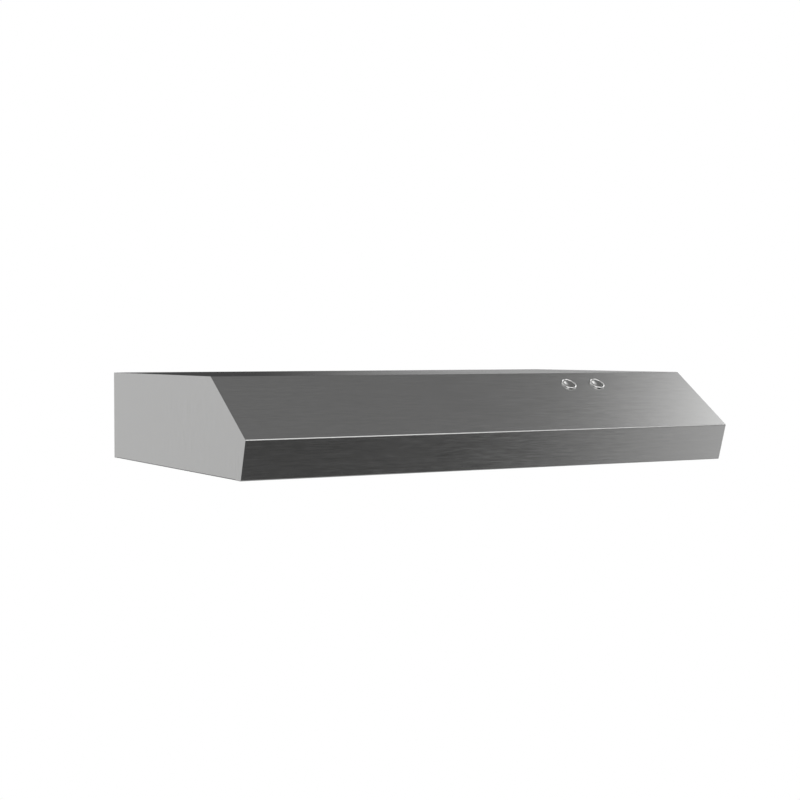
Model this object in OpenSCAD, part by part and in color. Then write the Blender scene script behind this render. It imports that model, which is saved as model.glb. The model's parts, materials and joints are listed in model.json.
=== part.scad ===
// Under-cabinet range hood: folded body, blower, damper, filters, lamps, controls and wiring.
// +Z is up and the front faces -Y. The origin is the centre of the cabinet screws on the top face.

/* [Body] */
// Width over the side panels
hood_w = 760; // [740:5:800]
// Height from the top face to the bottom edge
hood_h = 126; // [126:1:132]
// Depth of the flat top, from the back face to the top fold
top_d = 371; // [366:1:380]
// Depth from the back face to the lip fold
hood_d = 479; // [474:1:490]
// Height of the front lip
lip_h = 51; // [46:1:54]
// How far the lip's bottom edge is set back
lip_lean = 15; // [12:1:18]
// Thickness of the body sheet
sheet = 1; // [0.8:0.1:1]
// Inside radius of the folds
fold_r = 1; // [0.5:0.1:1.5]
// Width of the canopy's bottom return
front_return = 16; // [14:1:18]
// Width of the side panels' bottom return
side_return = 28; // [24:1:28]
// Width of the back panel's returns
back_return = 12; // [10:1:13]

/* [Mounting] */
// Distance between the cabinet screws from side to side
screw_pitch_x = 640; // [600:10:660]
// Distance between the cabinet screws from front to back
screw_pitch_y = 230; // [200:10:240]
// Radius of the cabinet screw holes
screw_hole_r = 3.25; // [2.5:0.25:4]
// Radius of the cable inlet in the back panel
inlet_hole_r = 11.1; // [10:0.1:12]

/* [Outlet] */
// Width of the rectangular duct that fits the collar
duct_w = 254; // [240:1:256]
// Height of the rectangular duct that fits the collar
duct_h = 82; // [76:1:82]
// How far the collar stands out of the back
collar_l = 30; // [25:1:40]

/* [Fan] */
// Radius of the blower wheel
wheel_r = 95; // [88:1:95]
// Number of blades on the wheel
blades = 36; // [24:1:44]
// Radius of the motor can
motor_r = 42; // [36:1:43]
// Radius of the motor shaft
shaft_r = 4; // [3:0.5:5]

/* [Filters] */
// Width of one filter
filter_w = 340; // [320:1:340]
// Depth of one filter
filter_d = 310; // [300:1:310]
// Thickness of one filter
filter_t = 9; // [8:0.5:9]
// Width of the filter frame's face
filter_rim = 16; // [12:1:18]

/* [Lamps] */
// Distance of each lamp from the middle
lamp_x = 190; // [150:5:220]
// Radius of the lamp's body
lamp_r = 29; // [25:1:30]

/* [Controls] */
// Place of the first button, from the middle
button_x = 160; // [120:5:170]
// Distance between the buttons
button_pitch = 50; // [40:1:60]
// Distance of the buttons below the top fold, along the slope
button_drop = 28; // [26:1:40]
// Outer radius of the bezels
bezel_r = 11.5; // [11:0.25:12.5]
// How far the bezels stand out of the slope
bezel_h = 2.4; // [2.2:0.1:3.5]
// Travel of the buttons
button_travel = 2; // [1:0.1:2.4]

/* [Hidden] */
$fn = 64;

// Colours
steel = "silver";
zinc = "lightslategray";
dark = "dimgray";

// Play between parts that are screwed or slipped together, and of a running fit
play = 0.5;
run = 0.05;
// Overlap that makes a cutter reach past a face
past = 1;
// How far the inside stays from the back panel, to clear its folds
fold_room = fold_r + 0.2;
// Steps in each rounded fold
fold_steps = 4;

// The body's side outline, as [y, z]
half_w = hood_w / 2;
back_y = top_d / 2;
fold_y = back_y - top_d;
nose = [back_y - hood_d, lip_h - hood_h];
toe = [nose.x + lip_lean, -hood_h];
canopy_path = [[back_y, 0], [fold_y, 0], nose, toe, [toe.x + front_return, -hood_h]];
slope_angle = atan2(-nose.y, fold_y - nose.x);
slope_dir = (nose - [fold_y, 0]) / norm(nose - [fold_y, 0]);
lip_dir = (toe - nose) / norm(toe - nose);
// Inner face of the web of a side panel
web_x = half_w - sheet;
// Width of the band that welds a side panel to the canopy
weld_w = 12;
weld_gap = 2;

// Light panel
panel_z = -hood_h + 8;
panel_front = toe.x + front_return;
panel_back = panel_front + 116;
panel_wall = 20;
panel_mid = (panel_front + panel_back) / 2;
panel_screw_x = half_w - 37;
panel_screw_dy = 30;

// Filters hang on pegs at their back corners
filter_x = filter_w / 2 + 8;
filter_mid_z = -hood_h + 11.5;
pivot_y = back_y - 20;
pivot_inset = 6;
filter_back = pivot_y + pivot_inset;
filter_front = filter_back - filter_d;
filter_low = filter_mid_z - filter_t / 2;
filter_top = filter_mid_z + filter_t / 2;
peg_r = 2;
peg_l = 5;
mesh_t = 6;
mesh_lap = 12;
layers = 3;
layer_t = 0.5;
// Underside of the shelf above the filters' back edge, and its front edge
shelf_z = filter_mid_z + 9.5;
shelf_front = pivot_y - 7.5;

// Latches at the filters' front edge
latch_w = 30;
latch_l = 14;
latch_t = 2;
latch_z = filter_low - 0.3 - latch_t;
latch_y = filter_front + 1;
tongue_w = 16;
keeper_tip = panel_back + 3;
tongue_gap = 0.8;

// Blower, with its centre left of the middle so that the outlet ends in the middle
fan_x = -35;
fan_y = 10;
scroll_top = -2 * sheet;
scroll_low = -4 - duct_h;
tongue_angle = 65;
tongue_r = 5;
scroll_r0 = wheel_r + 8;
scroll_r1 = wheel_r + 45;
outlet_x = duct_w / 2 - sheet;
flare_angle = 59;
outlet_y = back_y - 2 * sheet - fold_room;
wheel_top = scroll_top - 8;
wheel_low = wheel_top - 66;
motor_low = scroll_top - sheet - 47;
dome_r = motor_r + 8;
dome_low = motor_low - 6;
disc_low = wheel_top - sheet;
rim_w = 10;
rim_h = 2;
blade_t = 0.9;
throat = wheel_r - 17;
flare = 6;
studs = [[fan_x - wheel_r - 37, fan_y], [122, 34], [fan_x, fan_y - wheel_r - 46], [fan_x - 45, 132]];
stud_r = 2;

// Damper
collar_top = -4;
flap_y = back_y + 15;
axle_z = collar_top - 5.5;
axle_r = 1.5;
flap_t = 0.8;
collar_flange = 12;

// Controls: the barrel goes through the slope and carries the switch
barrel_r = 9.6;
barrel_l = 14;
bore_r = 7.2;
cap_r = 8.4;
rim_r = 8.75;
cap_rest = 0.9;
cap_t = 2.2;
cap_floor = bezel_h - cap_rest - cap_t - button_travel - 0.4;
stem_r = 3.2;

// Wiring box, inside the right back corner
box_x = 180;
box_w = 120;
box_y = 60;
box_low = -46;
box_d = back_y - sheet - fold_room - box_y;
inlet_x = 262;
inlet_z = -26;
post = 7;
lead_r = 1.6;
motor_lead_z = wheel_top + 3.8;
motor_lead_end = [box_x + 5, box_y + 30, motor_lead_z - 6];
lamp_lead_end = [box_x + 60, box_y + 5, -30];

// Screws
shank_r = 1.95;
tapped_r = 2;
head_r = 3.6;
head_h = 2.2;

// ---- Functions for folded sheet ----

function perp(v) = [-v.y, v.x];
function dir(a, b) = (b - a) / norm(b - a);
function side_of(a, b) = a.x * b.y - a.y * b.x;
function turned(v, a) = [v.x * cos(a) - v.y * sin(a), v.x * sin(a) + v.y * cos(a)];
function reversed(p) = [for (i = [len(p) - 1:-1:0]) p[i]];

// The path moved to its left by d, with mitred corners
function shifted(p, d) = [for (i = [0:len(p) - 1])
    let (n = len(p) - 1)
    let (u = dir(p[max(i - 1, 0)], p[max(i, 1)]))
    let (v = dir(p[min(i, n - 1)], p[min(i + 1, n)]))
    p[i] + d * (perp(u) + perp(v)) / (1 + u * v)];

// The arc that rounds corner b between a and c
function fold(a, b, c, left_r, right_r) =
    let (u = dir(a, b), v = dir(b, c))
    let (turn = atan2(side_of(u, v), u * v), s = sign(turn), r = turn > 0 ? left_r : right_r)
    let (centre = b - u * r * tan(abs(turn) / 2) + perp(u) * r * s)
    [for (k = [0:fold_steps]) centre - s * r * turned(perp(u), turn * k / fold_steps)];

// The path with its corners rounded
function rounded(p, left_r, right_r) = [
    p[0],
    for (i = [1:len(p) - 2]) each fold(p[i - 1], p[i], p[i + 1], left_r, right_r),
    p[len(p) - 1]
];

// Outline of a folded sheet whose thickness lies to the left of the path
function sheet_outline(p, t, r) =
    concat(rounded(p, r + t, r), reversed(rounded(shifted(p, t), r, r + t)));

// ---- Shared shapes ----

// Extrudes a [y, z] outline along X, from x0 over the length l
module along_x(x0, l) {
    translate([x0, 0, 0])
        rotate([90, 0, 90])
            linear_extrude(l)
                children();
}

// Extrudes an [x, z] outline along Y, from y0 over the length l
module along_y(y0, l) {
    translate([0, y0 + l, 0])
        rotate([90, 0, 0])
            linear_extrude(l)
                children();
}

module folded(p, t = sheet) {
    polygon(sheet_outline(p, t, fold_r));
}

module box(low, high) {
    translate(low)
        cube(high - low);
}

// Turns a ring outline [r, z] round Z
module ring(p) {
    rotate_extrude()
        polygon(p);
}

module mirrored(side) {
    mirror([side > 0 ? 1 : 0, 0, 0])
        children();
}

// A pan-head screw whose head sits above z = 0 and whose shank goes down
module screw(l) {
    difference() {
        union() {
            cylinder(r = head_r, h = head_h);
            translate([0, 0, -l])
                cylinder(r = shank_r, h = l + past);
        }
        for (a = [0, 90])
            rotate([0, 0, a])
                translate([-head_r * 0.6, -0.4, head_h - 1])
                    cube([head_r * 1.2, 0.8, past + 1]);
    }
}

module screw_hole(l = 6) {
    translate([0, 0, -l])
        cylinder(r = tapped_r, h = 2 * l);
}

// Places children on the slope at x, with +Z out of the slope
module on_slope(x) {
    translate([x, fold_y + slope_dir.x * button_drop, slope_dir.y * button_drop])
        rotate([slope_angle, 0, 0])
            children();
}

// A round lead swept along points
lead_sides = 8;
function lead_ring(p, i, r) =
    let (n = len(p) - 1)
    let (a = p[min(i + 1, n)] - p[max(i - 1, 0)], t = a / norm(a))
    let (w = cross(t, abs(t.z) > 0.8 ? [1, 0, 0] : [0, 0, 1]), u = w / norm(w), v = cross(t, u))
    [for (k = [0:lead_sides - 1]) p[i] + r * (u * cos(360 * k / lead_sides) + v * sin(360 * k / lead_sides))];

module lead(p, r) {
    n = len(p) - 1;
    polyhedron(
        [for (i = [0:n]) each lead_ring(p, i, r)],
        concat(
            [[for (k = [lead_sides - 1:-1:0]) k]],
            [for (i = [0:n - 1], k = [0:lead_sides - 1])
                let (j = (k + 1) % lead_sides)
                [i * lead_sides + k, i * lead_sides + j, (i + 1) * lead_sides + j, (i + 1) * lead_sides + k]],
            [[for (k = [0:lead_sides - 1]) n * lead_sides + k]]
        )
    );
}

// ---- Body ----

module canopy() {
    color(steel)
    difference() {
        along_x(-half_w, hood_w)
            folded(canopy_path);
        for (x = [-1, 1], y = [-1, 1])
            translate([x * screw_pitch_x / 2, y * screw_pitch_y / 2, -3])
                cylinder(r = screw_hole_r, h = 6);
        for (x = [button_x, button_x + button_pitch])
            on_slope(x)
                translate([0, 0, -3])
                    cylinder(r = barrel_r + 0.2, h = 6);
        top_knockout();
    }
}

// Scored outlines of the spare outlet and the spare cable hole in the top
module top_knockout() {
    score_w = 1;
    score_d = 0.4;
    knock_y = back_y - 65;
    translate([0, knock_y, -score_d])
        difference() {
            translate([-duct_w / 2, -duct_h / 2, 0])
                cube([duct_w, duct_h, past]);
            translate([-duct_w / 2 + score_w, -duct_h / 2 + score_w, -past])
                cube([duct_w - 2 * score_w, duct_h - 2 * score_w, 3 * past]);
        }
    translate([inlet_x, back_y - 40, -score_d])
        difference() {
            cylinder(r = inlet_hole_r, h = past);
            translate([0, 0, -past])
                cylinder(r = inlet_hole_r - score_w, h = 3 * past);
        }
}

// The left side panel; the right one is its mirror image
module side_panel() {
    inner = rounded(shifted(canopy_path, sheet), fold_r, fold_r);
    web_low = -hood_h + 3;
    return_front = panel_front;
    return_back = back_y - back_return - play;
    band = concat([[back_y - back_return - weld_gap, 0]], [[fold_y, 0], nose, toe - 8 * lip_dir]);
    color(steel)
    union() {
        along_x(-half_w, sheet)
            polygon(concat(inner, [[return_front, web_low], [back_y, web_low]]));
        along_x(-web_x, weld_w)
            polygon(sheet_outline(shifted(band, sheet), sheet, fold_r));
        along_y(return_front, return_back - return_front)
            folded([[-half_w, web_low + past], [-half_w, -hood_h], [-half_w + side_return, -hood_h]]);
        box([-half_w, return_back - past, -hood_h], [-web_x, back_y, web_low + past]);
    }
}

module back_panel() {
    low = [back_y - back_return, -hood_h];
    top = [back_y - back_return, -sheet];
    color(steel)
    difference() {
        along_x(-web_x, 2 * web_x)
            folded([low, [back_y, -hood_h], [back_y, -sheet], top]);
        box([-outlet_x, back_y - 3, scroll_low + sheet], [outlet_x, back_y + 3, collar_top - sheet]);
        translate([inlet_x, back_y - 3, inlet_z])
            rotate([-90, 0, 0])
                cylinder(r = inlet_hole_r, h = 6);
        collar_screw_places()
            screw_hole();
    }
}

// ---- Light panel and lamps ----

module light_panel() {
    ledge = -hood_h + sheet;
    wall_top = panel_z + panel_wall;
    color(steel)
    difference() {
        along_x(-web_x + play, 2 * (web_x - play))
            folded([
                [panel_front - 11, ledge], [panel_front + sheet, ledge], [panel_front + sheet, panel_z],
                [panel_back, panel_z], [panel_back, wall_top], [panel_back - 12, wall_top]
            ]);
        for (x = [-lamp_x, lamp_x])
            translate([x, panel_mid, panel_z - 3])
                cylinder(r = lamp_r + 0.3, h = 6);
        panel_screw_places()
            screw_hole();
    }
}

module panel_screw_places() {
    for (x = [-1, 1], y = [-1, 1])
        translate([x * panel_screw_x, panel_mid + y * panel_screw_dy, panel_z])
            rotate([180, 0, 0])
                children();
}

module light_panel_brackets() {
    arm_w = 84;
    z = panel_z + sheet;
    color(zinc)
    difference() {
        for (side = [-1, 1])
            mirrored(side)
                along_y(panel_mid - arm_w / 2, arm_w)
                    folded([[-web_x, z + 18], [-web_x, z], [-web_x + 50, z]], 1.5);
        panel_screw_places()
            screw_hole();
    }
}

module light_panel_screws() {
    color(steel)
    panel_screw_places()
        screw(5);
}

module at_lamp(side) {
    translate([side * lamp_x, panel_mid, panel_z])
        children();
}

module lamp_trim(side) {
    out = lamp_r + 7;
    lip = lamp_r - 3;
    color(steel)
    at_lamp(side)
        ring([
            [lip, -2.5], [out - 1, -2.5], [out, -1.5], [out, 0], [lamp_r, 0],
            [lamp_r, 14], [lamp_r - 1, 14], [lamp_r - 1, -1], [lip, -1]
        ]);
}

module lamp_lens(side) {
    color("white", 0.6)
    at_lamp(side)
        translate([0, 0, -1])
            cylinder(r = lamp_r - 1.2, h = 2);
}

// Finned body with a reflector bowl facing down
module lamp_body(side) {
    r = lamp_r - 1.5;
    color(dark)
    at_lamp(side)
        difference() {
            union() {
                translate([0, 0, 1])
                    cylinder(r = r, h = 16);
                for (k = [0:2])
                    translate([0, 0, 18.5 + 3 * k])
                        cylinder(r = r - 2, h = 1.5);
                translate([0, 0, 16])
                    cylinder(r = r - 12, h = 11);
            }
            translate([0, 0, 1])
                ring([[0, -past], [r - 2, -past], [r - 2, 0], [9, 12], [0, 12]]);
        }
}

module lamp_led(side) {
    color("khaki")
    at_lamp(side)
        translate([0, 0, 11])
            cylinder(r = 7, h = 2);
}

// ---- Filter rails ----

module filter_rail_back() {
    ear_t = 2;
    ear_front = pivot_y - 7;
    back = back_y - sheet;
    color(steel)
    difference() {
        union() {
            along_x(-web_x + play, 2 * (web_x - play))
                folded([[shelf_front, shelf_z], [back, shelf_z], [back, shelf_z + 14]]);
            for (side = [-1, 1], x = [filter_x - filter_w / 2 - 3.5, filter_x + filter_w / 2 + 1.5])
                translate([side * (x + ear_t / 2) - ear_t / 2, ear_front, filter_mid_z - 4.5])
                    cube([ear_t, 14, shelf_z - filter_mid_z + 4.5 + sheet / 2]);
        }
        along_x(-web_x, 2 * web_x)
            translate([pivot_y, filter_mid_z])
                circle(r = peg_r + run);
        box(
            [-web_x, ear_front - past, filter_mid_z - peg_r - run],
            [web_x, pivot_y, filter_mid_z + peg_r + run]
        );
    }
}

module filter_rail_centre() {
    flange_z = filter_top + 0.6;
    length = shelf_front - panel_back;
    color(steel)
    along_y(panel_back, length)
        folded([[-14, shelf_z + sheet], [-14, flange_z], [14, flange_z], [14, shelf_z + sheet]]);
}

// The left side rail; the right one is its mirror image
module filter_side_rail() {
    low = filter_top + 0.6;
    inner_x = filter_x + filter_w / 2 - 3;
    color(steel)
    along_y(panel_back, shelf_front - panel_back - 1)
        folded([[-web_x, low + 12], [-web_x, low], [-inner_x, low]]);
}

// ---- Filters ----

module filter_frame(side) {
    window = [filter_w - 2 * filter_rim, filter_d - 2 * filter_rim];
    mid_y = (filter_front + filter_back) / 2;
    color("gainsboro")
    translate([side * filter_x, 0, 0])
        difference() {
            union() {
                box([-filter_w / 2, filter_front, filter_low], [filter_w / 2, filter_back, filter_top]);
                along_x(-filter_w / 2 - peg_l, filter_w + 2 * peg_l)
                    translate([pivot_y, filter_mid_z])
                        circle(r = peg_r);
            }
            translate([-window.x / 2, mid_y - window.y / 2, filter_low - past])
                cube([window.x, window.y, filter_t + 2 * past]);
            filter_slab(-mesh_t / 2, mesh_t / 2);
        }
}

// Box of the filter's own size less its rims, from the middle of the filter
module filter_slab(low, high) {
    size = [filter_w - 2 * filter_rim + mesh_lap, filter_d - 2 * filter_rim + mesh_lap];
    mid_y = (filter_front + filter_back) / 2;
    box(
        [-size.x / 2, mid_y - size.y / 2, filter_mid_z + low],
        [size.x / 2, mid_y + size.y / 2, filter_mid_z + high]
    );
}

// Layers of expanded aluminium, their edges held in the frame
module filter_mesh(side) {
    pitch = (mesh_t - layer_t) / (layers - 1);
    color("darkgray")
    translate([side * filter_x, 0, 0])
        for (k = [0:layers - 1])
            filter_slab(-mesh_t / 2 + k * pitch, -mesh_t / 2 + k * pitch + layer_t);
}

module latch_guides(side) {
    gap = 0.3;
    wall = 4;
    low = latch_z - gap - 1.2;
    color("gainsboro")
    translate([side * filter_x, 0, 0])
        for (s = [0, 1])
            mirror([s, 0, 0])
                difference() {
                    box([latch_w / 2 - 1.8, latch_y, low], [latch_w / 2 + wall, latch_y + 10, filter_low]);
                    box(
                        [0, latch_y - past, latch_z - gap],
                        [latch_w / 2 + gap, latch_y + 20, filter_low + past]
                    );
                }
}

// Sliding catch with its tongue to the front and a finger pull behind
module latch(side) {
    pull_h = latch_z + hood_h - 0.5;
    color("silver")
    translate([side * filter_x, 0, 0])
        union() {
            box([-latch_w / 2, latch_y, latch_z], [latch_w / 2, latch_y + latch_l, latch_z + latch_t]);
            box(
                [-tongue_w / 2, keeper_tip + tongue_gap, latch_z],
                [tongue_w / 2, latch_y + past, latch_z + latch_t]
            );
            box(
                [-latch_w / 2 + 3, latch_y + latch_l - 3, latch_z - pull_h],
                [latch_w / 2 - 3, latch_y + latch_l, latch_z + past]
            );
        }
}

module latch_keepers() {
    color(steel)
    for (side = [-1, 1])
        along_x(side * filter_x - 14, 28)
            folded([
                [panel_back - 14, panel_z - sheet], [panel_back - 1, panel_z - sheet],
                [panel_back - 1, latch_z - 2], [keeper_tip, latch_z - 2]
            ]);
}

// ---- Blower ----

function spiral_r(a) = scroll_r0 + (scroll_r1 - scroll_r0) * (a - tongue_angle) / (360 - tongue_angle);
function round_point(c, r, a) = c + r * [cos(a), sin(a)];

// The housing's wall as one open path, with the air on its left
fan = [fan_x, fan_y];
tongue = round_point(fan, scroll_r0 + tongue_r, tongue_angle);
tongue_turn = flare_angle + 180 - tongue_angle;
scroll_path = [
    [-outlet_x - sheet, outlet_y],
    for (k = [0:6]) round_point(tongue, tongue_r, flare_angle - tongue_turn * k / 6),
    for (a = [tongue_angle + 5:5:360]) round_point(fan, spiral_r(a), a),
    [outlet_x + sheet, outlet_y]
];

// Flat top of the housing, with ears for the studs and holes for the motor's screws
module scroll_top_plate() {
    color(zinc)
    difference() {
        union() {
            translate([0, 0, scroll_top - sheet])
                linear_extrude(sheet)
                    polygon(scroll_path);
            stud_ear([fan_x - wheel_r - 46, fan_y - 12], [fan_x - wheel_r, fan_y + 12]);
            stud_ear([95, 24], [132, 46]);
            stud_ear([fan_x - 12, fan_y - wheel_r - 56], [fan_x + 12, fan_y - wheel_r]);
            stud_ear([fan_x - 57, 100], [fan_x - 33, 152]);
        }
        for (p = studs)
            translate([p.x, p.y, scroll_top - 3])
                cylinder(r = stud_r + 0.2, h = 6);
        motor_screw_places()
            screw_hole();
    }
}

// The housing's wall, a spiral that opens into the outlet
module scroll_wall() {
    color(zinc)
    difference() {
        translate([0, 0, scroll_low])
            linear_extrude(scroll_top - sheet - scroll_low)
                polygon(concat(scroll_path, reversed(shifted(scroll_path, sheet))));
        translate([fan_x + wheel_r, fan_y, motor_lead_z])
            rotate([0, 90, 0])
                cylinder(r = lead_r + play, h = scroll_r1 - wheel_r + 30);
    }
}

module stud_ear(low, high) {
    box([low.x, low.y, scroll_top - sheet], [high.x, high.y, scroll_top]);
}

module scroll_base() {
    color(zinc)
    difference() {
        translate([0, 0, scroll_low - sheet])
            linear_extrude(sheet)
                polygon(scroll_path);
        translate([fan_x, fan_y, scroll_low - 3])
            cylinder(r = throat + flare + 1, h = 6, $fn = 96);
    }
}

// Flared mouth that leads the air into the wheel
module inlet_ring() {
    flange_r = wheel_r + 5;
    low = scroll_low - 2 * sheet;
    turn = [throat + flare, low + flare];
    color(zinc)
    translate([fan_x, fan_y, 0])
        ring(concat(
            [[flange_r, low], [flange_r, low + sheet], [throat + flare, low + sheet]],
            [for (a = [270:-18:180]) round_point(turn, flare - sheet, a)],
            [[throat + sheet, wheel_low + 3], [throat, wheel_low + 3]],
            [for (a = [180:18:270]) round_point(turn, flare, a)]
        ));
}

module blower_studs() {
    color(zinc)
    for (p = studs)
        translate([p.x, p.y, 0])
            union() {
                translate([0, 0, -14])
                    cylinder(r = stud_r, h = 14 - sheet);
                translate([0, 0, scroll_top])
                    cylinder(r = 5, h = sheet);
            }
}

module blower_nuts() {
    color(zinc)
    for (p = studs)
        translate([p.x, p.y, scroll_top - sheet - 3.2])
            difference() {
                cylinder(r = 4.2, h = 3.2, $fn = 6);
                translate([0, 0, -past])
                    cylinder(r = stud_r, h = 6);
            }
}

// Disc of the squirrel-cage wheel, dished so that the motor sits inside it
module wheel_disc() {
    hub_r = 11;
    hub_h = 13;
    color(zinc)
    translate([fan_x, fan_y, 0])
        difference() {
            union() {
                ring([
                    [0, dome_low], [dome_r - sheet, dome_low],
                    [dome_r - sheet, wheel_top], [wheel_r, wheel_top],
                    [wheel_r, disc_low], [dome_r, disc_low],
                    [dome_r, dome_low - sheet], [0, dome_low - sheet]
                ]);
                translate([0, 0, dome_low - hub_h])
                    cylinder(r = hub_r, h = hub_h);
            }
            translate([0, 0, dome_low - hub_h - past])
                cylinder(r = shaft_r, h = hub_h + 2 * past);
        }
}

module wheel_rim() {
    color(zinc)
    translate([fan_x, fan_y, 0])
        ring([
            [wheel_r - rim_w, wheel_low], [wheel_r, wheel_low], [wheel_r, wheel_low + rim_h],
            [wheel_r - rim_w, wheel_low + rim_h]
        ]);
}

// Forward-curved blades, each fixed to the rim and the disc
module wheel_blades() {
    low = wheel_low + rim_h;
    color(zinc)
    translate([fan_x, fan_y, low])
        for (k = [0:blades - 1])
            rotate([0, 0, 360 * k / blades])
                linear_extrude(disc_low - low)
                    blade();
}

module blade() {
    inner_r = wheel_r - 14;
    chord = wheel_r - 1.5 - inner_r;
    sag = 3;
    lean = 5;
    line = [for (k = [0:4]) [inner_r + chord * k / 4, sag * (1 - pow(k / 2 - 1, 2)) - lean * k / 4]];
    polygon(concat(line, reversed(shifted(line, blade_t))));
}

module motor_shaft() {
    top = scroll_top - sheet - 12;
    low = motor_low - 6 - 18;
    color("silver")
    translate([fan_x, fan_y, low])
        cylinder(r = shaft_r, h = top - low);
}

module motor_can() {
    top = scroll_top - sheet;
    low_r = motor_r - 4;
    color(dark)
    translate([fan_x, fan_y, 0])
        difference() {
            union() {
                translate([0, 0, motor_low + 3])
                    cylinder(r = motor_r, h = top - motor_low - 3);
                translate([0, 0, motor_low])
                    cylinder(r = low_r, h = 4);
            }
            translate([0, 0, motor_low - past])
                cylinder(r = shaft_r + 1, h = 12 + past);
            translate([0, 0, motor_low + 9])
                cylinder(r = shaft_r + run, h = top - motor_low - 19);
            motor_tapped_holes();
        }
}

module motor_tapped_holes() {
    for (a = [45:90:315])
        rotate([0, 0, a])
            translate([motor_r - 10, 0, scroll_top - sheet - 8])
                cylinder(r = tapped_r, h = 10);
}

// Bush pressed into the motor's lower bearing seat
module motor_bush() {
    color("darkgoldenrod")
    translate([fan_x, fan_y, motor_low])
        difference() {
            cylinder(r = shaft_r + 1, h = 10);
            translate([0, 0, -past])
                cylinder(r = shaft_r + run, h = 14);
        }
}

module motor_screw_places() {
    translate([fan_x, fan_y, scroll_top])
        for (a = [45:90:315])
            rotate([0, 0, a])
                translate([motor_r - 10, 0, 0])
                    children();
}

// Flat-headed screws, thin enough to clear the canopy
module motor_screws() {
    color(steel)
    motor_screw_places()
        union() {
            cylinder(r = head_r, h = 0.7);
            translate([0, 0, -8])
                cylinder(r = shank_r, h = 8.3);
        }
}

// ---- Outlet ----

module collar_screw_places() {
    for (x = [-1, 1], z = [-20, -66])
        translate([x * (duct_w / 2 + 6), back_y + sheet, z])
            rotate([-90, 0, 0])
                children();
}

module damper_collar() {
    outer = [duct_w / 2, scroll_low];
    end = back_y + collar_l;
    color(zinc)
    difference() {
        union() {
            box([-outer.x, back_y, outer.y], [outer.x, end, collar_top]);
            box(
                [-outer.x - collar_flange, back_y, outer.y - collar_flange],
                [outer.x + collar_flange, back_y + sheet, collar_top + 3]
            );
        }
        box([-outlet_x, back_y - past, outer.y + sheet], [outlet_x, end + past, collar_top - sheet]);
        along_x(-outer.x - past, duct_w + 2 * past)
            translate([flap_y, axle_z])
                circle(r = axle_r + run);
        collar_screw_places()
            screw_hole();
    }
}

module collar_screws() {
    color(steel)
    collar_screw_places()
        screw(6);
}

module damper_flap() {
    gap = 0.8;
    knuckle_r = 2.6;
    low = scroll_low + sheet + gap;
    color("gainsboro")
    difference() {
        union() {
            along_x(-outlet_x + gap, 2 * (outlet_x - gap))
                translate([flap_y, axle_z])
                    circle(r = knuckle_r);
            box(
                [-outlet_x + gap, flap_y - flap_t / 2, low],
                [outlet_x - gap, flap_y + flap_t / 2, axle_z - 2]
            );
        }
        along_x(-outlet_x, 2 * outlet_x)
            translate([flap_y, axle_z])
                circle(r = axle_r);
    }
}

module damper_axle() {
    color("silver")
    along_x(-duct_w / 2 - 1.5, duct_w + 3)
        translate([flap_y, axle_z])
            circle(r = axle_r);
}

// ---- Controls ----

module bezel(x) {
    arc_h = 1.6;
    mid_r = (rim_r + bezel_r) / 2;
    arc = [for (a = [0:15:180]) [mid_r + (bezel_r - mid_r) * cos(a), bezel_h - arc_h + arc_h * sin(a)]];
    color("silver")
    on_slope(x)
        ring(concat(
            [[bezel_r, 0]],
            arc,
            [[rim_r, cap_floor], [bore_r, cap_floor], [bore_r, -barrel_l]],
            [[barrel_r, -barrel_l], [barrel_r, 0]]
        ));
}

// Dished button with a stem that reaches the switch
module button(x) {
    rest = bezel_h - cap_rest;
    dish = 0.8;
    color("silver")
    on_slope(x)
        ring(concat(
            [[0, -barrel_l - 1], [stem_r, -barrel_l - 1], [stem_r, rest - cap_t], [cap_r, rest - cap_t]],
            [[cap_r, rest - 0.4], [cap_r - 0.4, rest]],
            [for (k = [0:6]) [(cap_r - 1.2) * (1 - k / 6), rest - dish * (1 - pow(1 - k / 6, 2))]]
        ));
}

module switch_nuts() {
    color(steel)
    for (x = [button_x, button_x + button_pitch])
        on_slope(x)
            translate([0, 0, -sheet - 3])
                difference() {
                    cylinder(r = 13, h = 3, $fn = 6);
                    translate([0, 0, -past])
                        cylinder(r = barrel_r, h = 6);
                }
}

// Closed switch body with its contacts and return spring inside
module switch(x) {
    depth = 20;
    well = button_travel + 1.5;
    color("black")
    on_slope(x)
        translate([0, 0, -barrel_l - depth])
            difference() {
                union() {
                    translate([-10, -10, 0])
                        cube([20, 20, depth]);
                    for (s = [-1, 1])
                        translate([s * 5 - 0.4, -2.5, -5])
                            cube([0.8, 5, 6]);
                }
                translate([0, 0, depth - well])
                    cylinder(r = stem_r + 0.6, h = well + past);
            }
}

// ---- Wiring ----

post_places = [[box_x + sheet, box_y + sheet], [box_x + box_w - sheet - post, box_y + box_d - sheet - post]];

// Open towards the back panel, which closes it and carries the cable inlet
module wiring_box() {
    color(zinc)
    difference() {
        union() {
            difference() {
                box([box_x, box_y, box_low], [box_x + box_w, box_y + box_d, scroll_top]);
                box(
                    [box_x + sheet, box_y + sheet, box_low - past],
                    [box_x + box_w - sheet, box_y + box_d + past, scroll_top - sheet]
                );
            }
            for (p = post_places)
                translate([p.x - sheet / 2, p.y - sheet / 2, box_low])
                    cube([post, post, scroll_top - sheet / 2 - box_low]);
        }
        wiring_screw_places()
            screw_hole(10);
        translate([box_x - 3, motor_lead_end.y, motor_lead_end.z])
            rotate([0, 90, 0])
                cylinder(r = lead_r + play, h = 6);
        translate([lamp_lead_end.x, box_y - 3, lamp_lead_end.z])
            rotate([-90, 0, 0])
                cylinder(r = lead_r + play, h = 6);
    }
}

module wiring_screw_places() {
    for (p = post_places)
        translate([p.x + post / 2 - sheet / 2, p.y + post / 2 - sheet / 2, box_low - sheet])
            rotate([180, 0, 0])
                children();
}

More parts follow.
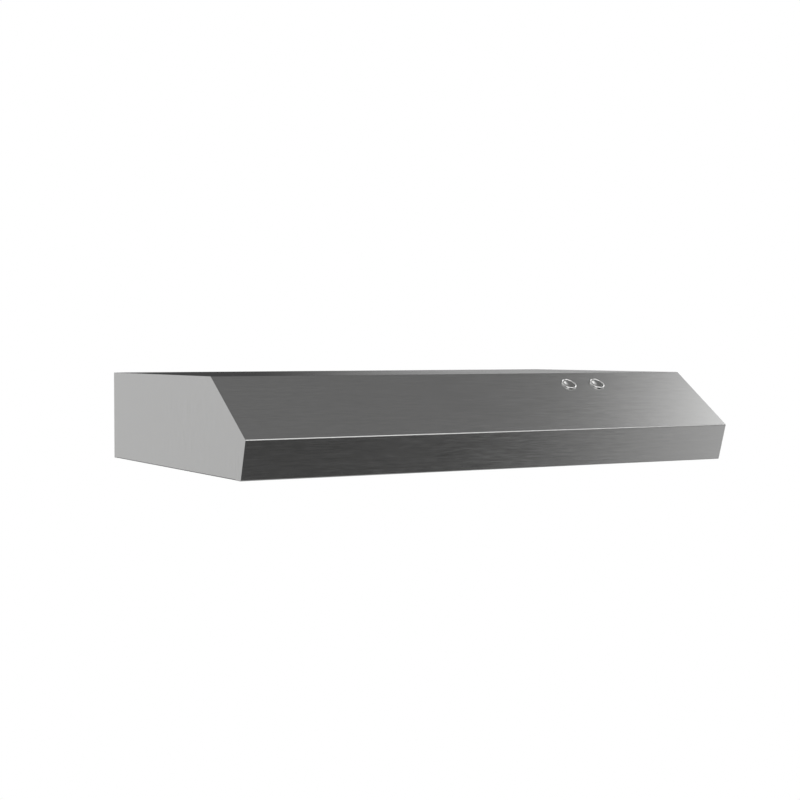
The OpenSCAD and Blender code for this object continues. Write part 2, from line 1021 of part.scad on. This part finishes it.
module wiring_cover() {
    color(zinc)
    difference() {
        box([box_x - 0.5, box_y - 0.5, box_low - sheet], [box_x + box_w + 0.5, box_y + box_d, box_low]);
        wiring_screw_places()
            screw_hole();
    }
}

module wiring_screws() {
    color(steel)
    wiring_screw_places()
        screw(9);
}

module terminal_block() {
    ways = 3;
    pitch = 13;
    color("ivory")
    translate([box_x + 20, box_y + 62, scroll_top - sheet - 16])
        difference() {
            cube([ways * pitch + 8, 22, 16]);
            for (k = [0:ways - 1], y = [6, 16])
                translate([4 + pitch * (k + 0.5), y, -past])
                    cylinder(r = 3, h = 9);
        }
}

module capacitor() {
    color("whitesmoke")
    along_x(box_x + 50, 52)
        translate([box_y + 24, scroll_top - sheet - 15])
            circle(r = 13);
}

module capacitor_clip() {
    c = [box_y + 24, scroll_top - sheet - 15];
    color(zinc)
    difference() {
        box([box_x + 70, c.x - 15, c.y - 4], [box_x + 82, c.x + 15, scroll_top - sheet]);
        along_x(box_x, box_w)
            translate(c)
                circle(r = 13);
    }
}

// Leads run from the wiring box, held by the sheets that they pass
module motor_lead() {
    z = motor_lead_z;
    end = motor_lead_end;
    color("black")
    lead([
        [fan_x + motor_r, fan_y, z], [fan_x + 180, fan_y, z], [box_x - 16, fan_y + 4, z],
        [box_x - 11, fan_y + 12, z - 2], [box_x - 10, end.y - 10, end.z], [box_x - 8, end.y - 4, end.z],
        [box_x - 4, end.y, end.z], end
    ], lead_r);
}

module lamp_lead() {
    top = panel_z + 27;
    end = lamp_lead_end;
    color("white")
    lead([
        end, [end.x, box_y - 8, end.z], [end.x - 3, box_y - 16, end.z - 2],
        [lamp_x + 14, panel_back + 10, -88], [lamp_x + 10, panel_mid + 20, top + 4],
        [lamp_x + 4, panel_mid + 4, top + 4], [lamp_x, panel_mid, top + 2], [lamp_x, panel_mid, top]
    ], lead_r);
}

canopy();
side_panel();  // side_left
mirrored(1) side_panel();  // side_right
back_panel();
light_panel();
light_panel_brackets();
light_panel_screws();
lamp_trim(-1);  // lamp_trim_left
lamp_trim(1);  // lamp_trim_right
lamp_lens(-1);  // lamp_lens_left
lamp_lens(1);  // lamp_lens_right
lamp_body(-1);  // lamp_body_left
lamp_body(1);  // lamp_body_right
lamp_led(-1);  // lamp_led_left
lamp_led(1);  // lamp_led_right
filter_rail_back();
filter_rail_centre();
filter_side_rail();  // filter_rail_left
mirrored(1) filter_side_rail();  // filter_rail_right
filter_frame(-1);  // filter_frame_left
filter_frame(1);  // filter_frame_right
filter_mesh(-1);  // filter_mesh_left
filter_mesh(1);  // filter_mesh_right
latch_guides(-1);  // latch_guides_left
latch_guides(1);  // latch_guides_right
latch(-1);  // latch_left
latch(1);  // latch_right
latch_keepers();
scroll_top_plate();  // scroll_top
scroll_wall();
scroll_base();
inlet_ring();
blower_studs();
blower_nuts();
wheel_disc();
wheel_rim();
wheel_blades();
motor_shaft();
motor_can();
motor_bush();
motor_screws();
damper_collar();
collar_screws();
damper_flap();
damper_axle();
bezel(button_x);  // bezel_light
bezel(button_x + button_pitch);  // bezel_fan
button(button_x);  // button_light
button(button_x + button_pitch);  // button_fan
switch(button_x);  // switch_light
switch(button_x + button_pitch);  // switch_fan
switch_nuts();
wiring_box();
wiring_cover();
wiring_screws();
terminal_block();
capacitor();
capacitor_clip();
motor_lead();
lamp_lead();
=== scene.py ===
import json
import math

import bpy
from mathutils import Euler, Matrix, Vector


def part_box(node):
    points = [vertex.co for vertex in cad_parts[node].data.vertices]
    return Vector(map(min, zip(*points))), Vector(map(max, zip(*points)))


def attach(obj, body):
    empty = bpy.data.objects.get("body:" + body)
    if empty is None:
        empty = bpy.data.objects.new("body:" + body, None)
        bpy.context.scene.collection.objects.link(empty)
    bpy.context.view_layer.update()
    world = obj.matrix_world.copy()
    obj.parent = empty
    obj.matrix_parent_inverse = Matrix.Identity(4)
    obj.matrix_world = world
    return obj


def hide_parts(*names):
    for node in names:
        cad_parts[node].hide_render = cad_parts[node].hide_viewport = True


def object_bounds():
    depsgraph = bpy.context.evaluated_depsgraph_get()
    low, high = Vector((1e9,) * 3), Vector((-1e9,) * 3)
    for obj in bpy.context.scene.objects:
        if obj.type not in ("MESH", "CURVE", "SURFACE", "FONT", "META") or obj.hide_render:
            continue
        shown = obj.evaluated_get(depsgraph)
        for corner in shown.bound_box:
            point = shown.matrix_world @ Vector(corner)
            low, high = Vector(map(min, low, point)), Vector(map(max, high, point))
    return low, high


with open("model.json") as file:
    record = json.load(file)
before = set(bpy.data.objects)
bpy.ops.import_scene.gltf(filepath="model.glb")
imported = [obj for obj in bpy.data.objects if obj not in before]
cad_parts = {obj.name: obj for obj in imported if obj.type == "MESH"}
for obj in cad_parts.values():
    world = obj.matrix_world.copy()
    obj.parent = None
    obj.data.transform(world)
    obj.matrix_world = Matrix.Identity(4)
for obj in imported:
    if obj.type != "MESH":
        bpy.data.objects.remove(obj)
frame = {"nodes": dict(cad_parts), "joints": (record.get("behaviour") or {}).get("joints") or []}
cad_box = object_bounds()
nodes = frame["nodes"]
scene = bpy.context.scene

# ---- Camera, floor and light, in metres, degrees, millimetres of lens and watts ----
CAMERA_PLACE = Vector((-1.1055, -1.9393, 0.0340))
CAMERA_YAW = 29.72
CAMERA_PITCH = 1.94
CAMERA_LENS = 67.04
CAMERA_SENSOR = 36
FLOOR_DROP = 1.3
FLOOR_RADIUS = 1.25
FLOOR_SEGMENTS = 128
SOFTBOX_PLACE = Vector((0.6, -1.6, 2.6))
SOFTBOX_SIZE = (2.4, 1.6)
SOFTBOX_WATTS = 60

# ---- Brushing of sheet metal: noise scales across and along its grain, per metre ----
FINE_ACROSS = 1400
FINE_ALONG = 14
COARSE_ACROSS = 700
COARSE_ALONG = 60
TURNED_RINGS = 900

# ---- Zinc crystals and moulded skins: noise scales per metre ----
CRYSTALS = 130
EGGSHELL = 900

# ---- Expanded aluminium in the grease filters, in metres ----
DIAMOND_LONG = 0.0080
DIAMOND_SHORT = 0.0046
STRAND_WIDTH = 0.0011
STRAND_THICK = 0.0005
# Strand widths between the middles of two strands where they meet
STRAND_JOIN = 0.7
# How much larger the diamonds are in each next layer
LAYER_GROWTH = 0.13

# ---- Lamp lenses: counts, and fractions of their radius or thickness ----
LENS_SEGMENTS = 96
LENS_RINGS = 36
LENS_FLAT_STEPS = 6
LENS_FLAT = 0.97
LENS_RINGED = 0.95
LENS_EDGE = 0.2
LENS_RING_DEPTH = 0.3


# ---- Node helpers ----

def new_tree(name):
    """A material with an empty tree but for its shader and output."""
    material = bpy.data.materials.new(name)
    material.use_nodes = True
    tree = material.node_tree
    tree.nodes.clear()
    shader = tree.nodes.new("ShaderNodeBsdfPrincipled")
    output = tree.nodes.new("ShaderNodeOutputMaterial")
    tree.links.new(shader.outputs["BSDF"], output.inputs["Surface"])
    return material, tree, shader


def object_coords(tree, scale=(1, 1, 1), place=(0, 0, 0), turn=(0, 0, 0)):
    """The object's own coordinates in metres, measured from place, turned and scaled."""
    coords = tree.nodes.new("ShaderNodeTexCoord")
    centred = tree.nodes.new("ShaderNodeVectorMath")
    centred.operation = "SUBTRACT"
    centred.inputs[1].default_value = place
    tree.links.new(coords.outputs["Object"], centred.inputs[0])
    mapping = tree.nodes.new("ShaderNodeMapping")
    mapping.vector_type = "POINT"
    mapping.inputs["Rotation"].default_value = turn
    mapping.inputs["Scale"].default_value = scale
    tree.links.new(centred.outputs[0], mapping.inputs["Vector"])
    return mapping.outputs["Vector"]


def noise(tree, vector, scale=1.0, detail=3.0):
    """Smooth noise with this many features per unit of the vector."""
    node = tree.nodes.new("ShaderNodeTexNoise")
    node.inputs["Scale"].default_value = scale
    node.inputs["Detail"].default_value = detail
    node.inputs["Roughness"].default_value = 0.55
    tree.links.new(vector, node.inputs["Vector"])
    return node.outputs["Fac"]


def spread(tree, value, low, high, start=0.3, end=0.7):
    """Maps value from start..end to low..high."""
    node = tree.nodes.new("ShaderNodeMapRange")
    node.inputs["From Min"].default_value = start
    node.inputs["From Max"].default_value = end
    node.inputs["To Min"].default_value = low
    node.inputs["To Max"].default_value = high
    tree.links.new(value, node.inputs["Value"])
    return node.outputs["Result"]


def combine(tree, a, b, how="ADD"):
    """Sum or other result of two values, each a socket or a number."""
    node = tree.nodes.new("ShaderNodeMath")
    node.operation = how
    for value, socket in zip((a, b), node.inputs):
        if isinstance(value, (int, float)):
            socket.default_value = value
        else:
            tree.links.new(value, socket)
    return node.outputs["Value"]


def tint(tree, value, dark, light):
    """A colour between dark and light, as value goes from 0 to 1."""
    node = tree.nodes.new("ShaderNodeMix")
    node.data_type = "RGBA"
    node.inputs["A"].default_value = (*dark, 1)
    node.inputs["B"].default_value = (*light, 1)
    tree.links.new(value, node.inputs["Factor"])
    return node.outputs["Result"]


def bump(tree, shader, height, distance, strength):
    """Bumps this far out, in metres, where height is 1."""
    node = tree.nodes.new("ShaderNodeBump")
    node.inputs["Distance"].default_value = distance
    node.inputs["Strength"].default_value = strength
    tree.links.new(height, node.inputs["Height"])
    tree.links.new(node.outputs["Normal"], shader.inputs["Normal"])


def scaled(colour, factor):
    """The colour made lighter or darker."""
    return tuple(min(1.0, c * factor) for c in colour)


# ---- Materials ----

def grain_scale(grain, across, along):
    """Scales that draw noise out into streaks along the grain axis."""
    return tuple(along if axis == grain else across for axis in "XYZ")


def brushed_steel(name, colour, grain, roughness=0.22, contrast=0.06):
    """Steel or aluminium sheet, brushed along the grain axis, "X", "Y" or "Z"."""
    material, tree, shader = new_tree(name)
    fine = object_coords(tree, grain_scale(grain, FINE_ACROSS, FINE_ALONG))
    coarse = object_coords(tree, grain_scale(grain, COARSE_ACROSS, COARSE_ALONG))
    lines = noise(tree, fine, detail=2)
    bands = noise(tree, coarse, detail=2)
    cloud = noise(tree, object_coords(tree), scale=5, detail=2)
    grainy = combine(tree, combine(tree, lines, bands), 0.5, "MULTIPLY")
    mixed = spread(tree, grainy, 0, 1, 0.35, 0.65)
    colour_out = tint(tree, mixed, scaled(colour, 1 - contrast), scaled(colour, 1 + contrast))
    tree.links.new(colour_out, shader.inputs["Base Color"])
    rough_grain = spread(tree, grainy, roughness - 0.03, roughness + 0.03, 0.35, 0.65)
    rough_cloud = spread(tree, cloud, -0.012, 0.012)
    tree.links.new(combine(tree, rough_grain, rough_cloud), shader.inputs["Roughness"])
    shader.inputs["Metallic"].default_value = 1.0
    bump(tree, shader, lines, 0.00001, 0.25)
    return material


def polished_metal(name, colour, roughness=0.07):
    """Plated metal with faint smears."""
    material, tree, shader = new_tree(name)
    smear = noise(tree, object_coords(tree), scale=160, detail=4)
    rough = spread(tree, smear, roughness - 0.02, roughness + 0.05)
    tree.links.new(rough, shader.inputs["Roughness"])
    colour_out = tint(tree, spread(tree, smear, 0, 1), scaled(colour, 0.97), colour)
    tree.links.new(colour_out, shader.inputs["Base Color"])
    shader.inputs["Metallic"].default_value = 1.0
    return material


def turned_metal(name, colour, node, normal_turn, roughness=0.2):
    """Metal brushed in circles round the node's own axis."""
    material, tree, shader = new_tree(name)
    low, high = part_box(node)
    vector = object_coords(tree, place=(low + high) / 2, turn=normal_turn)
    rings = tree.nodes.new("ShaderNodeTexWave")
    rings.wave_type = "RINGS"
    rings.rings_direction = "Z"
    rings.inputs["Scale"].default_value = TURNED_RINGS
    rings.inputs["Distortion"].default_value = 2.5
    rings.inputs["Detail"].default_value = 2
    tree.links.new(vector, rings.inputs["Vector"])
    value = rings.outputs["Fac"]
    colour_out = tint(tree, value, scaled(colour, 0.93), scaled(colour, 1.04))
    tree.links.new(colour_out, shader.inputs["Base Color"])
    rough = spread(tree, value, roughness, roughness + 0.06, 0, 1)
    tree.links.new(rough, shader.inputs["Roughness"])
    shader.inputs["Metallic"].default_value = 1.0
    return material


def galvanised(name, colour, roughness=0.42):
    """Zinc-coated sheet with its crystals."""
    material, tree, shader = new_tree(name)
    vector = object_coords(tree)
    cells = tree.nodes.new("ShaderNodeTexVoronoi")
    cells.inputs["Scale"].default_value = CRYSTALS
    tree.links.new(vector, cells.inputs["Vector"])
    shade = tree.nodes.new("ShaderNodeSeparateColor")
    tree.links.new(cells.outputs["Color"], shade.inputs["Color"])
    dirt = noise(tree, vector, scale=24, detail=4)
    mixed = combine(tree, shade.outputs["Red"], dirt, "MULTIPLY")
    value = spread(tree, mixed, 0, 1, 0.1, 0.6)
    colour_out = tint(tree, value, scaled(colour, 0.82), scaled(colour, 1.12))
    tree.links.new(colour_out, shader.inputs["Base Color"])
    rough = spread(tree, shade.outputs["Green"], roughness - 0.08, roughness + 0.08, 0, 1)
    tree.links.new(rough, shader.inputs["Roughness"])
    shader.inputs["Metallic"].default_value = 0.9
    return material


def moulded(name, colour, roughness=0.45, metallic=0.0, grain=EGGSHELL):
    """Moulded plastic, paint or cast metal with a fine eggshell texture."""
    material, tree, shader = new_tree(name)
    vector = object_coords(tree)
    fine = noise(tree, vector, scale=grain, detail=2)
    cloud = noise(tree, vector, scale=40, detail=3)
    colour_out = tint(tree, spread(tree, cloud, 0, 1), scaled(colour, 0.9), scaled(colour, 1.08))
    tree.links.new(colour_out, shader.inputs["Base Color"])
    rough = spread(tree, cloud, roughness - 0.05, roughness + 0.05)
    tree.links.new(rough, shader.inputs["Roughness"])
    shader.inputs["Metallic"].default_value = metallic
    bump(tree, shader, fine, 0.00005, 0.4)
    return material


def frosted_lens(name):
    """Lamp lens, frosted, with rings pressed into it by its mesh."""
    material, tree, shader = new_tree(name)
    vector = object_coords(tree)
    frost = noise(tree, vector, scale=1200, detail=2)
    tree.links.new(spread(tree, frost, 0.22, 0.38), shader.inputs["Roughness"])
    colour_out = tint(tree, spread(tree, frost, 0, 1), (0.88, 0.9, 0.9), (0.97, 0.98, 0.98))
    tree.links.new(colour_out, shader.inputs["Base Color"])
    shader.inputs["Transmission Weight"].default_value = 0.85
    shader.inputs["IOR"].default_value = 1.49
    bump(tree, shader, frost, 0.00003, 0.5)
    return material


def dress(material, *names):
    """Gives the named CAD nodes this material alone."""
    for name in names:
        mesh = nodes[name].data
        mesh.materials.clear()
        mesh.materials.append(material)


STAINLESS = (0.60, 0.60, 0.595)
ZINC = (0.56, 0.58, 0.60)
ALUMINIUM = (0.70, 0.71, 0.72)
press_axis = Vector(next(j["axis"] for j in frame["joints"] if j["name"] == "button_light_press"))
slope_turn = math.atan2(press_axis.y, -press_axis.z)

along_front = brushed_steel("stainless_front", STAINLESS, "X")
along_side = brushed_steel("stainless_side", STAINLESS, "Z", contrast=0.045)
rails = brushed_steel("stainless_rails", scaled(STAINLESS, 0.94), "X", roughness=0.32)
satin = brushed_steel("satin_trim", (0.66, 0.66, 0.65), "X", contrast=0.03)
zinc_sheet = galvanised("galvanised_sheet", ZINC)
hardware = galvanised("plated_hardware", (0.62, 0.62, 0.60), roughness=0.3)
filter_edge = brushed_steel(
    "filter_aluminium", (0.74, 0.75, 0.76), "Y", roughness=0.34, contrast=0.04
)
mesh_wire = moulded("expanded_aluminium", ALUMINIUM, roughness=0.33, metallic=1.0, grain=2500)
flap_sheet = brushed_steel("flap_aluminium", ALUMINIUM, "X", roughness=0.36)

dress(along_front, "canopy", "back_panel", "light_panel")
dress(along_side, "side_left", "side_right")
dress(
    rails, "filter_rail_back", "filter_rail_centre", "filter_rail_left", "filter_rail_right",
    "latch_keepers",
)
dress(satin, "lamp_trim_left", "lamp_trim_right", "latch_left", "latch_right")
dress(
    zinc_sheet, "light_panel_brackets", "scroll_top", "scroll_wall", "scroll_base", "inlet_ring",
    "wheel_disc", "wheel_rim", "wheel_blades", "damper_collar", "wiring_box", "wiring_cover",
    "capacitor_clip",
)
dress(
    hardware, "light_panel_screws", "wiring_screws", "collar_screws", "motor_screws",
    "blower_nuts", "switch_nuts", "blower_studs", "motor_shaft", "damper_axle",
)
dress(
    filter_edge, "filter_frame_left", "filter_frame_right", "latch_guides_left",
    "latch_guides_right",
)
dress(flap_sheet, "damper_flap")
dress(polished_metal("bezel_chrome", (0.86, 0.86, 0.85)), "bezel_light", "bezel_fan")
for which in ("light", "fan"):
    button = "button_" + which
    dress(turned_metal(button + "_face", (0.60, 0.60, 0.59), button, (-slope_turn, 0, 0)), button)
dress(moulded("motor_paint", (0.03, 0.03, 0.032), roughness=0.38), "motor_can")
dress(moulded("sintered_bronze", (0.50, 0.32, 0.14), metallic=1.0), "motor_bush")
dress(moulded("black_nylon", (0.02, 0.02, 0.021), roughness=0.5), "switch_light", "switch_fan")
dress(moulded("ivory_nylon", (0.70, 0.67, 0.58)), "terminal_block")
dress(moulded("capacitor_shell", (0.74, 0.74, 0.72), roughness=0.25), "capacitor")
dress(moulded("black_insulation", (0.015, 0.015, 0.016), roughness=0.42), "motor_lead")
dress(moulded("white_insulation", (0.66, 0.66, 0.64), roughness=0.42), "lamp_lead")
dress(
    moulded("heat_sink", (0.10, 0.10, 0.105), roughness=0.4, metallic=0.9),
    "lamp_body_left", "lamp_body_right",
)
dress(
    moulded("led_phosphor", (0.86, 0.66, 0.16), roughness=0.5, grain=3000),
    "lamp_led_left", "lamp_led_right",
)


# ---- Pieces made here in place of plain CAD solids ----

def mesh_object(name, points, faces, material):
    """A new object of these faces, in the scene."""
    mesh = bpy.data.meshes.new(name)
    mesh.from_pydata(points, [], faces)
    mesh.validate()
    mesh.update()
    mesh.materials.append(material)
    piece = bpy.data.objects.new(name, mesh)
    scene.collection.objects.link(piece)
    return piece


def add_strand(points, faces, line):
    """Adds a flat wire along a zigzag line that lies level."""
    first = len(points)
    for x, y, z in line:
        for dy, dz in ((-1, -1), (1, -1), (1, 1), (-1, 1)):
            points.append((x, y + dy * STRAND_WIDTH / 2, z + dz * STRAND_THICK / 2))
    for k in range(len(line) - 1):
        a, b = first + 4 * k, first + 4 * (k + 1)
        for s in range(4):
            t = (s + 1) % 4
            faces.append((a + s, a + t, b + t, b + s))
    last = len(points) - 4
    faces.append((first + 3, first + 2, first + 1, first))
    faces.append((last, last + 1, last + 2, last + 3))


def expanded_sheet(points, faces, low, high, z, long, short, shift):
    """One layer of expanded metal: zigzag strands that meet at their peaks."""
    steps = int((high.x - low.x) / (long / 2))
    rows = int((high.y - low.y) / short)
    step_x = (high.x - low.x) / steps
    step_y = (high.y - low.y) / rows
    rise = (step_y - STRAND_WIDTH * STRAND_JOIN) / 2
    for row in range(rows):
        middle = low.y + (row + 0.5) * step_y
        line = []
        for k in range(steps + 1):
            up = 1 if (k + row + shift) % 2 == 0 else -1
            line.append((low.x + k * step_x, middle + up * rise, z))
        add_strand(points, faces, line)


def filter_pack(side):
    """The layers of expanded aluminium held in a filter's frame."""
    node = "filter_mesh_" + side
    low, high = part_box(node)
    points, faces = [], []
    half = STRAND_THICK / 2
    levels = (low.z + half, (low.z * 2 + high.z) / 3, (low.z + high.z * 2) / 3, high.z - half)
    inset = Vector((STRAND_WIDTH, STRAND_WIDTH, 0))
    for k, z in enumerate(levels):
        wide = 1.0 + LAYER_GROWTH * (k % 3)
        long, short = DIAMOND_LONG * wide, DIAMOND_SHORT * wide
        expanded_sheet(points, faces, low + inset, high - inset, z, long, short, k % 2)
    pack = mesh_object("filter_pack_" + side, points, faces, mesh_wire)
    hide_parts(node)
    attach(pack, "filter_" + side)


def ringed_lens(side):
    """Round lens with pressed rings on its upper face and a soft edge below."""
    node = "lamp_lens_" + side
    low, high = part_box(node)
    centre, radius = (low + high) / 2, (high.x - low.x) / 2
    thick = high.z - low.z
    edge = thick * LENS_EDGE
    profile = [
        (radius * LENS_FLAT * k / LENS_FLAT_STEPS, low.z) for k in range(LENS_FLAT_STEPS + 1)
    ]
    profile += [(radius, low.z + edge), (radius, high.z - edge)]
    for k in range(LENS_RINGS, -1, -1):
        groove = thick * LENS_RING_DEPTH if k % 2 == 0 else 0
        profile.append((radius * LENS_RINGED * k / LENS_RINGS, high.z - groove))
    points, faces = [], []
    for r, z in profile:
        for s in range(LENS_SEGMENTS):
            a = 2 * math.pi * s / LENS_SEGMENTS
            points.append((centre.x + r * math.cos(a), centre.y + r * math.sin(a), z))
    for k in range(len(profile) - 1):
        for s in range(LENS_SEGMENTS):
            t = (s + 1) % LENS_SEGMENTS
            a, b = k * LENS_SEGMENTS, (k + 1) * LENS_SEGMENTS
            faces.append((a + s, b + s, b + t, a + t))
    lens = mesh_object("ringed_lens_" + side, points, faces, frosted_lens("lens_" + side))
    lens.data.polygons.foreach_set("use_smooth", [True] * len(lens.data.polygons))
    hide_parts(node)
    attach(lens, "hood")


for side in ("left", "right"):
    filter_pack(side)
    ringed_lens(side)


# ---- Studio ----

def add_camera():
    """The camera, which looks at the hood from its front left."""
    data = bpy.data.cameras.new("camera")
    data.lens = CAMERA_LENS
    data.sensor_width = CAMERA_SENSOR
    camera = bpy.data.objects.new("camera", data)
    camera.location = CAMERA_PLACE
    tilt, turn = math.radians(90 - CAMERA_PITCH), math.radians(-CAMERA_YAW)
    camera.rotation_euler = Euler((tilt, 0, turn), "XYZ")
    scene.collection.objects.link(camera)
    scene.camera = camera


def add_floor():
    """A pale round floor, well below the hood because the hood hangs in the air."""
    z = cad_box[0].z - FLOOR_DROP
    angles = [2 * math.pi * k / FLOOR_SEGMENTS for k in range(FLOOR_SEGMENTS)]
    points = [(FLOOR_RADIUS * math.cos(a), FLOOR_RADIUS * math.sin(a), z) for a in angles]
    material, _, shader = new_tree("pale_floor")
    shader.inputs["Base Color"].default_value = (0.9, 0.9, 0.9, 1)
    shader.inputs["Roughness"].default_value = 0.9
    shader.inputs["Emission Color"].default_value = (1, 1, 1, 1)
    shader.inputs["Emission Strength"].default_value = 0.95
    floor = mesh_object("floor", points, [tuple(range(FLOOR_SEGMENTS))], material)
    floor.visible_glossy = False


def add_softbox():
    """A wide soft light in front and above, which the metal doesn't reflect."""
    data = bpy.data.lights.new("overhead", "AREA")
    data.shape = "RECTANGLE"
    data.size, data.size_y = SOFTBOX_SIZE
    data.energy = SOFTBOX_WATTS
    light = bpy.data.objects.new("overhead", data)
    light.location = SOFTBOX_PLACE
    light.rotation_euler = (-SOFTBOX_PLACE).to_track_quat("-Z", "Y").to_euler()
    light.visible_glossy = False
    light.visible_camera = False
    scene.collection.objects.link(light)


# Soft zones of the studio's walls. Each has a direction, the cosine of the angle from it where the
# zone begins and where it is full, and a brightness.
WALL_BASE = 0.05
WALL_ZONES = (
    ((0, 0, 1), 0.2, 0.95, 0.21),
    ((0.62, 0.78, 0), 0.965, 0.998, 0.75),
    ((1, 0, 0), 0.56, 0.80, 0.35),
    ((0.84, 0.14, 0.525), 0.936, 1.0, 2.45),
    ((0.85, -0.4, -0.35), 0.91, 0.985, 0.80),
    ((-0.5, 0.86, 0), 0.80, 0.95, 0.78),
    ((0.4, -0.65, 0.5), 0.90, 0.985, 2.1),
    ((-0.35, -0.85, -0.4), 0.84, 0.97, 0.40),
    ((-0.35, -0.85, 0.35), 0.85, 0.96, 1.5),
    ((0, 0, -1), 0.49, 1.0, 0.55),
    ((-0.8, -0.05, 0.6), 0.60, 1.0, 0.55),
    ((-0.6, 0.7, 0.4), 0.87, 0.99, 0.6),
    ((0.62, 0.62, -0.48), 0.89, 1.0, 0.24),
    ((-0.66, -0.3, -0.7), 0.80, 1.0, 0.26),
)


def add_studio_walls():
    """White behind the object, and soft light and dark zones around it for the metal to reflect."""
    world = bpy.data.worlds.new("studio")
    scene.world = world
    world.use_nodes = True
    tree = world.node_tree
    tree.nodes.clear()
    coords = tree.nodes.new("ShaderNodeTexCoord")
    total = WALL_BASE
    for axis, start, end, strength in WALL_ZONES:
        dot = tree.nodes.new("ShaderNodeVectorMath")
        dot.operation = "DOT_PRODUCT"
        dot.inputs[1].default_value = Vector(axis).normalized()
        tree.links.new(coords.outputs["Generated"], dot.inputs[0])
        zone = tree.nodes.new("ShaderNodeMapRange")
        zone.interpolation_type = "SMOOTHSTEP"
        zone.inputs["From Min"].default_value = start
        zone.inputs["From Max"].default_value = end
        zone.inputs["To Max"].default_value = strength
        tree.links.new(dot.outputs["Value"], zone.inputs["Value"])
        total = combine(tree, zone.outputs["Result"], total)
    walls = tree.nodes.new("ShaderNodeBackground")
    tree.links.new(total, walls.inputs["Strength"])
    behind = tree.nodes.new("ShaderNodeBackground")
    behind.inputs["Color"].default_value = (1, 1, 1, 1)
    path = tree.nodes.new("ShaderNodeLightPath")
    choice = tree.nodes.new("ShaderNodeMixShader")
    tree.links.new(path.outputs["Is Camera Ray"], choice.inputs["Fac"])
    tree.links.new(walls.outputs[0], choice.inputs[1])
    tree.links.new(behind.outputs[0], choice.inputs[2])
    output = tree.nodes.new("ShaderNodeOutputWorld")
    tree.links.new(choice.outputs[0], output.inputs["Surface"])


add_camera()
add_floor()
add_studio_walls()
add_softbox()
scene.view_settings.view_transform = "Standard"

bpy.context.view_layer.update()
